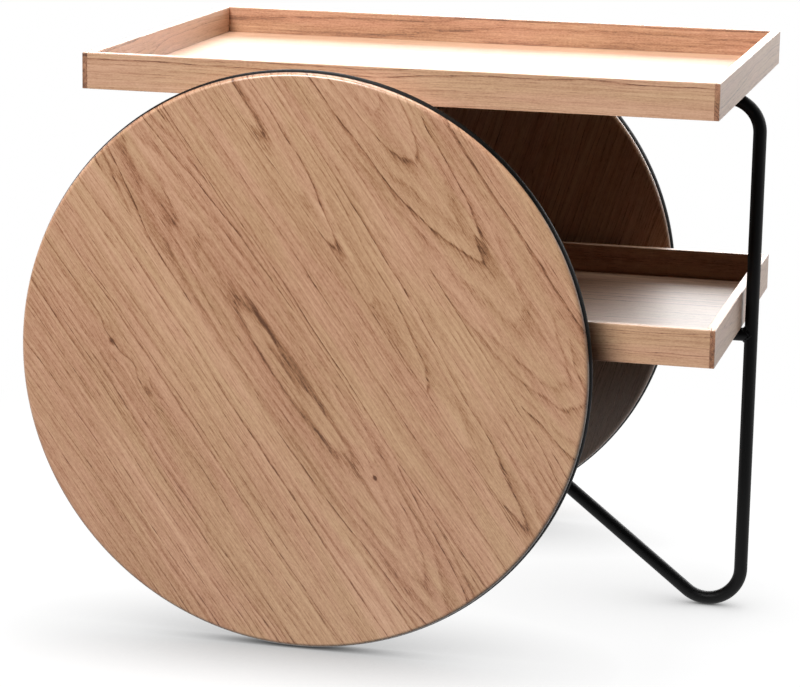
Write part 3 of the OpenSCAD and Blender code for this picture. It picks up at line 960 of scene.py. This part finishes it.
def moulded_plastic(name, tint):
    """Moulded plastic with a faint mottle."""
    f = Finish(name)
    mottle = f.noise(f.place, 400, 3)
    colour = f.mix(mottle, tint, tuple(0.8 * part for part in tint[:3]) + (1,))
    f.give(Base_Color=colour, Roughness=f.math("MULTIPLY_ADD", mottle, 0.2, 0.4))
    f.bump(mottle, 0.02 * MM)
    return f.material


# Boards of the front wheel, from its lower left edge to its upper right one
FRONT_BOARDS = [
    Board(-215, -330, 40, 0.04, 5.0, 0.07),
    Board(-98, -420, -90, 0.05, 5.4, 0.03),
    Board(-59, -240, 0, 0.05, 4.4, -0.05),
    Board(25, -15, -3, 0.13, 7.0, 0.05),
    Board(95, 330, 60, 0.03, 4.4, 0.03),
    Board(165, 100, -300, 0.08, 5.6, -0.01),
    Board(245, 215, -520, 0.11, 6.0, -0.01),
    Board(300, 420, 0, 0.04, 5.0, 0.03),
]
FRONT_KNOTS = [
    Knot(-150, -123, 3.0, 4.5, 0, 0.4),
    Knot(-150, -123, 11, 24, 5, 0.05),
    Knot(-148, -62, 2.6, 7, 0, 0.28),
    Knot(-148, -62, 9, 24, 5, 0.04),
    Knot(-150, -195, 2.0, 42, 2, 0.16),
    Knot(1, 134, 2.0, 2.8, 0, 0.7),
    Knot(7, 130, 8, 14, 2, 0.06),
    Knot(-4.5, -62, 2.8, 35, 0, 0.28),
    Knot(-6, -4, 8, 30, 3, 0.16),
    Knot(-2, 12, 2.6, 46, 0, 0.2),
    Knot(-13, -8, 2.2, 40, 0, 0.12),
    Knot(-21, 62, 1.8, 44, 0, 0.2),
    Knot(-12, 128, 1.6, 62, 0, 0.16),
    Knot(-22, -200, 7, 34, 2, 0.12),
    Knot(-14, -138, 3.4, 22, 0, 0.16),
    Knot(-74, 150, 1.8, 62, 0, 0.24),
    Knot(206, -120, 8, 30, 0.5, 0.08),
    Knot(222, 0, 4, 40, 2, 0.08),
    Knot(268, 55, 5, 34, 2, 0.08),
]

# The way that each wheel's grain runs
FRONT_GRAIN = (0.588, 0, -0.809)
REAR_GRAIN = (0.31, 0, 0.95)


def middle_of(node):
    """The middle of a CAD node's box."""
    lo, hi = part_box(node)
    return (lo + hi) / 2


def front_oak():
    """The front wheel's boards, listed one by one."""
    return oak(
        "oak_front_wheel", middle_of("front_wheel_disc"), FRONT_GRAIN, (0, 1, 0), FRONT_BOARDS,
        knots=FRONT_KNOTS, lacquer=WHEEL_LACQUER)


def rear_oak():
    """The rear wheel's boards, dealt."""
    return oak(
        "oak_rear_wheel", middle_of("rear_wheel_disc"), REAR_GRAIN, (0, 1, 0),
        deal_boards(seed=11, total=600, width=80), seed=4, lacquer=WHEEL_LACQUER)


# Boards of the three walls that show most; the others are dealt
WALL_BOARDS = {
    "upper_front": Board(100, 70, -60, 0.02, 3.4, -0.02),
    "upper_back": Board(100, 16, 150, 0.05, 8.0, 0.24),
    "lower_front": Board(100, 90, -40, 0.03, 3.8, -0.05),
}

# The way that each wall's grain runs, and the way that its face looks
WALL_WAYS = {
    "front": ((-1, 0, 0), (0, -1, 0)),
    "back": ((1, 0, 0), (0, -1, 0)),
    "left": ((0, 1, 0), (1, 0, 0)),
    "right": ((0, 1, 0), (1, 0, 0)),
}


def wall_oak(tray, side, seed):
    """One board along a wall, with its rings opening out along the grain."""
    deal = random.Random(seed)
    dealt = Board(
        100, deal.uniform(-60, 60), deal.uniform(-250, 250), deal.uniform(0.03, 0.08),
        deal.uniform(3.6, 5), deal.uniform(-0.04, 0.04))
    board = WALL_BOARDS.get(f"{tray}_{side}", dealt)
    along, facing = WALL_WAYS[side]
    middle = middle_of(f"{tray}_tray_{side}_wall")
    return oak(f"oak_{tray}_{side}_wall", middle, along, facing, [board], seed=seed)


def panel_oak(tray, seed):
    """A base panel glued up from boards that run along the tray."""
    lo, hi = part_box(f"{tray}_tray_base")
    boards = deal_boards(seed, total=(hi.y - lo.y) / MM + 40, width=70)
    return oak(
        f"oak_{tray}_base", (lo + hi) / 2, (1, 0, 0), (0, 0, 1), boards, seed=seed,
        lacquer=PANEL_LACQUER)


# The table

black = powder_coat("black_powder_coat")
tyre_rubber = rubber("black_rubber")
zinc = turned_steel("zinc_plated_steel", srgb(196, 198, 200), rough=0.38)
bright_steel = turned_steel(
    "ground_bearing_steel", srgb(214, 215, 217), rough=0.22, ring_mm=0.2)
cage_plastic = moulded_plastic("cage_nylon", srgb(196, 160, 92))

wheel_oak = {"front": front_oak(), "rear": rear_oak()}
for side in SIDES:
    body = f"{side}_wheel"
    hand_over(
        wheel_disc(side), f"{side}_disc", body, wheel_oak[side], "oak", f"{side}_wheel_disc")
    hand_over(
        tyre(side), f"{side}_rubber_tyre", body, tyre_rubber, "tyre_rubber", f"{side}_tyre")
    hand_over(
        hub(side), f"{side}_turned_hub", body, zinc, "zinc_steel", f"{side}_hub")
    hand_over(
        flange_screws(side), f"{side}_socket_screws", body, zinc, "zinc_steel",
        f"{side}_flange_screws")

tube, climb = bent_tube()
hand_over(tube, "bent_frame_tube", "frame", black, "black_steel", "frame_loop")
hand_over(strut(), "strut_tube", "frame", black, "black_steel", "tray_strut")
hand_over(cross_tube(), "cross_tube", "frame", black, "black_steel", "axle_cross_tube")
hand_over(welds(climb), "frame_welds", "frame", black, "black_steel")

WALL_MAKERS = {"front": long_wall, "back": long_wall, "left": end_wall, "right": end_wall}
for tray, seed in (("upper", 3), ("lower", 8)):
    hand_over(
        base_panel(tray), f"{tray}_panel", "frame", panel_oak(tray, seed), "oak",
        f"{tray}_tray_base")
    for number, (side, make) in enumerate(WALL_MAKERS.items()):
        hand_over(
            make(tray, side), f"{tray}_{side}_board", "frame",
            wall_oak(tray, side, seed + number), "oak", f"{tray}_tray_{side}_wall")
    hand_over(
        cleats(tray), f"{tray}_cleat_bars", "frame", black, "black_steel",
        f"{tray}_tray_cleats")
    hand_over(
        tray_screws(tray), f"{tray}_panel_screws", "frame", zinc, "zinc_steel",
        f"{tray}_tray_screws")

# Small parts of the hubs keep their CAD shape and get a finish
SMALL_PARTS = {
    "bearing_outer_rings": bright_steel,
    "bearing_inner_rings": bright_steel,
    "bearing_balls": bright_steel,
    "bearing_cages": cage_plastic,
    "ring_spacer": zinc,
}
for side in SIDES:
    for part, finish in SMALL_PARTS.items():
        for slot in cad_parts[f"{side}_{part}"].material_slots:
            slot.material = finish
for part in ("axle_rod", "axle_shims", "axle_washers", "axle_nuts"):
    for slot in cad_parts[part].material_slots:
        slot.material = zinc


# Stage

# The camera, fitted to the photograph: its place, and its angles in degrees
CAMERA_PLACE = (0.7093, -3.0303, 0.9490)
CAMERA_HEADING = 13.665
CAMERA_DROP = 12.464
CAMERA_TILT = 1.059
CAMERA_LENS = 133.96

# The surroundings: their light on the table, how bright a gloss mirrors them behind the table
# and in front of it, and how far to each side of the table the one turns into the other
AMBIENT = 0.005
MIRRORED = 1.0
MIRRORED_FRONT = 0.06
MIRRORED_TURN = 0.3

# The floor: how wide it is, what it bounces back, how it takes shade, its own glow, how near
# a thing has to be to dull that glow with a painted contact shadow, from where to where it
# melts into the white around it, and how far in front of the table it is mirrored at its dimmest
FLOOR_WIDE = 30
FLOOR_BOUNCE = 0.02
FLOOR_SHADE = 0.25
FLOOR_GLOW = 0.97
SHADOW_REACH = 0.15
FLOOR_NEAR = 0.4
FLOOR_FAR = 1.0
FLOOR_DIM = 2.0

# The lamps: where each one stands, how wide and how high it is, and its power in watts
LAMPS = {
    "key_softbox": ((-1.6, -4.3, 5.0), 2.6, 2.6, 612),
    "top_softbox": ((0.0, 0.4, 2.6), 1.3, 1.3, 36),
    "back_softbox": ((0.2, 3.2, 1.6), 4.0, 2.0, 130),
    "side_softbox": ((3.2, 1.0, 1.6), 1.4, 1.4, 12),
}
LAMPS_AIM = (0.0, 0.0, 0.35)


def camera():
    """The photograph's view: from the right of the front, a little above the upper tray."""
    lens = bpy.data.cameras.new("camera")
    lens.lens = CAMERA_LENS
    lens.sensor_width = 36
    lens.clip_end = 100
    holder = bpy.data.objects.new("camera", lens)
    bpy.context.scene.collection.objects.link(holder)
    turn = (
        Matrix.Rotation(math.radians(CAMERA_HEADING), 4, "Z")
        @ Matrix.Rotation(math.radians(90 - CAMERA_DROP), 4, "X")
        @ Matrix.Rotation(math.radians(CAMERA_TILT), 4, "Z")
    )
    holder.matrix_world = Matrix.Translation(CAMERA_PLACE) @ turn
    bpy.context.scene.camera = holder


def backdrop_world():
    """White where the camera looks past the table, bright or dim where a gloss mirrors it, and
    nearly dark as a light."""
    world = bpy.data.worlds.new("studio")
    bpy.context.scene.world = world
    world.use_nodes = True
    sky = Nodes(world.node_tree)
    rays = sky.add("LightPath").outputs
    heading = sky.add("SeparateXYZ", {0: sky.add("TexCoord").outputs["Generated"]}).outputs["Y"]
    around = sky.add("MapRange", {
        "Value": heading, "From Min": -MIRRORED_TURN, "From Max": MIRRORED_TURN,
        "To Min": MIRRORED_FRONT, "To Max": MIRRORED}).outputs["Result"]
    strength = sky.add("MapRange", {
        "Value": sky.mirrored(rays), "To Min": AMBIENT, "To Max": around}).outputs["Result"]
    shade = sky.tree.nodes["Background"]
    shade.inputs["Color"].default_value = (1, 1, 1, 1)
    sky.tree.links.new(
        sky.math("MAXIMUM", strength, rays["Is Camera Ray"]), shade.inputs["Strength"])


def studio_floor():
    """A pale floor that keeps the table's soft shadow from the lamps, adds a painted contact
    shadow where a thing stands near it, and melts into the white around it.
    """
    floor = begin(bpy.ops.mesh.primitive_plane_add, size=FLOOR_WIDE, location=(0, 0, 0))
    floor.name = "studio_floor"
    f = Finish("studio_floor")
    rays = f.add("LightPath").outputs
    seen = rays["Is Camera Ray"]
    paint = f.mix(seen, (FLOOR_BOUNCE,) * 3 + (1,), (FLOOR_SHADE,) * 3 + (1,))
    shaded = f.add("BsdfDiffuse", {"Color": paint}).outputs[0]
    depth = f.add("SeparateXYZ", {0: f.place}).outputs[1]
    paler = f.add("MapRange", {
        "Value": depth, "From Min": -FLOOR_DIM, "From Max": 0.0,
        "To Min": MIRRORED_FRONT, "To Max": MIRRORED}).outputs["Result"]
    # Painted contact shadow: the floor's glow is dulled wherever the table stands near it
    painted_contact_shade = f.add("AmbientOcclusion", {"Distance": SHADOW_REACH}).outputs["AO"]
    lit = f.math("MULTIPLY", f.math("MULTIPLY", seen, FLOOR_GLOW), painted_contact_shade)
    glow = f.math("MULTIPLY_ADD", f.mirrored(rays), paler, lit)
    glowing = f.add("Emission", {"Strength": glow}).outputs[0]
    near = f.add("AddShader", {0: shaded, 1: glowing}).outputs[0]
    away = f.add("VectorMath", {0: f.place}, operation="LENGTH").outputs["Value"]
    fade = f.add("MapRange", {
        "Value": away, "From Min": FLOOR_NEAR, "From Max": FLOOR_FAR},
        interpolation_type="SMOOTHSTEP").outputs["Result"]
    white = f.add("Emission", {"Strength": 1.0}).outputs[0]
    whole = f.add("MixShader", {0: f.math("MULTIPLY", fade, seen), 1: near, 2: white}).outputs[0]
    f.tree.links.new(whole, f.tree.nodes["Material Output"].inputs["Surface"])
    f.tree.nodes.remove(f.shader)
    floor.data.materials.append(f.material)
    return floor


def softbox(name, place, width, height, power):
    """A soft lamp with an oblong face, turned to the table."""
    lamp = bpy.data.lights.new(name, "AREA")
    lamp.shape = "RECTANGLE"
    lamp.size = width
    lamp.size_y = height
    lamp.energy = power
    holder = bpy.data.objects.new(name, lamp)
    bpy.context.scene.collection.objects.link(holder)
    holder.location = place
    toward = Vector(LAMPS_AIM) - Vector(place)
    holder.rotation_euler = toward.to_track_quat("-Z", "Y").to_euler()
    return holder


def keep_off(things, lamps):
    """Keeps the light of some lamps off some things, and leaves it on all the others."""
    spared = bpy.data.collections.new("spared")
    for thing in things:
        spared.objects.link(thing)
    for member in spared.collection_objects:
        member.light_linking.link_state = "EXCLUDE"
    for lamp in lamps:
        lamp.light_linking.receiver_collection = spared


camera()
backdrop_world()
floor = studio_floor()
lamps = {name: softbox(name, *how) for name, how in LAMPS.items()}

# The lamp in front is kept off the floor, which the other lamps shade. The room between the
# wheels is dark in the photograph, so the lamp in front is kept off the panel there, and the
# two behind off the front disc.
keep_off((floor, bpy.data.objects["lower_panel"]), (lamps["key_softbox"],))
keep_off((floor, bpy.data.objects["front_disc"]), (lamps["back_softbox"], lamps["side_softbox"]))

bpy.context.scene.view_settings.view_transform = "Standard"
